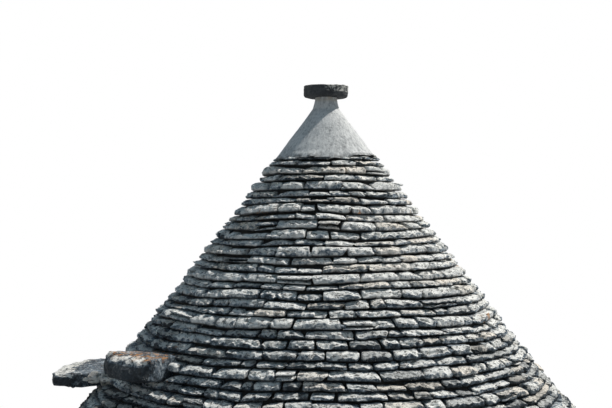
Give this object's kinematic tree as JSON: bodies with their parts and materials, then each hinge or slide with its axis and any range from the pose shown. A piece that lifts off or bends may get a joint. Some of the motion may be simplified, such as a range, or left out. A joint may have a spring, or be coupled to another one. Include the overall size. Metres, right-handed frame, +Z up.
{
  "type": "trullo house",
  "caption": "Square dry-stone trullo house with one corbelled cone roof, an arched doorway and a stone disc pinnacle.",
  "frame": {"origin": "on the ground at the middle of the square plan, under the cone's axis", "axes": "+Z up along the cone's axis, -Y out through the doorway, +X to the right of a person who faces the door"},
  "size_m": [5.5, 5.5, 5.739],
  "materials": {
    "pale_stone": "split limestone, weathered",
    "limewash": "limewash over rough stone",
    "vault_stone": "rough limestone, thinly limewashed",
    "rubble": "loose limestone rubble",
    "roof_stone": "weathered grey limestone slabs",
    "plaster": "trowelled lime plaster",
    "dark_stone": "lichen-darkened stone",
    "timber": "weathered brown boards",
    "window_glass": "clear"
  },
  "bodies": {
    "root": {"floor_paving": "pale_stone", "threshold": "pale_stone", "door_pier_left": "pale_stone", "door_pier_right": "pale_stone", "door_jamb_left": "pale_stone", "door_jamb_right": "pale_stone", "door_arch": "pale_stone", "door_lintel": "pale_stone", "left_window_sill": "pale_stone", "left_window_lintel": "pale_stone", "right_window_sill": "pale_stone", "right_window_lintel": "pale_stone", "front_wall_left": "limewash", "front_wall_right": "limewash", "front_wall_over_door": "limewash", "left_wall": "limewash", "right_wall": "limewash", "back_wall": "limewash", "front_left_squinch": "vault_stone", "front_right_squinch": "vault_stone", "back_left_squinch": "vault_stone", "back_right_squinch": "vault_stone", "vault_lower": "vault_stone", "vault_middle": "vault_stone", "vault_upper": "vault_stone", "vault_keystone": "vault_stone", "rubble_fill": "rubble", "eaves_slabs": "roof_stone", "shoulder_courses": "roof_stone", "cone_courses_lower": "roof_stone", "cone_courses_middle": "roof_stone", "cone_courses_upper": "roof_stone", "lower_step_slab": "roof_stone", "upper_step_slab": "roof_stone", "plaster_tip": "plaster", "pinnacle_disc": "dark_stone", "door_frame": "timber", "door_leaf_left": "timber", "door_leaf_right": "timber", "left_window_frame": "timber", "right_window_frame": "timber", "left_window_glass": "window_glass", "right_window_glass": "window_glass"}
  },
  "joints": []
}
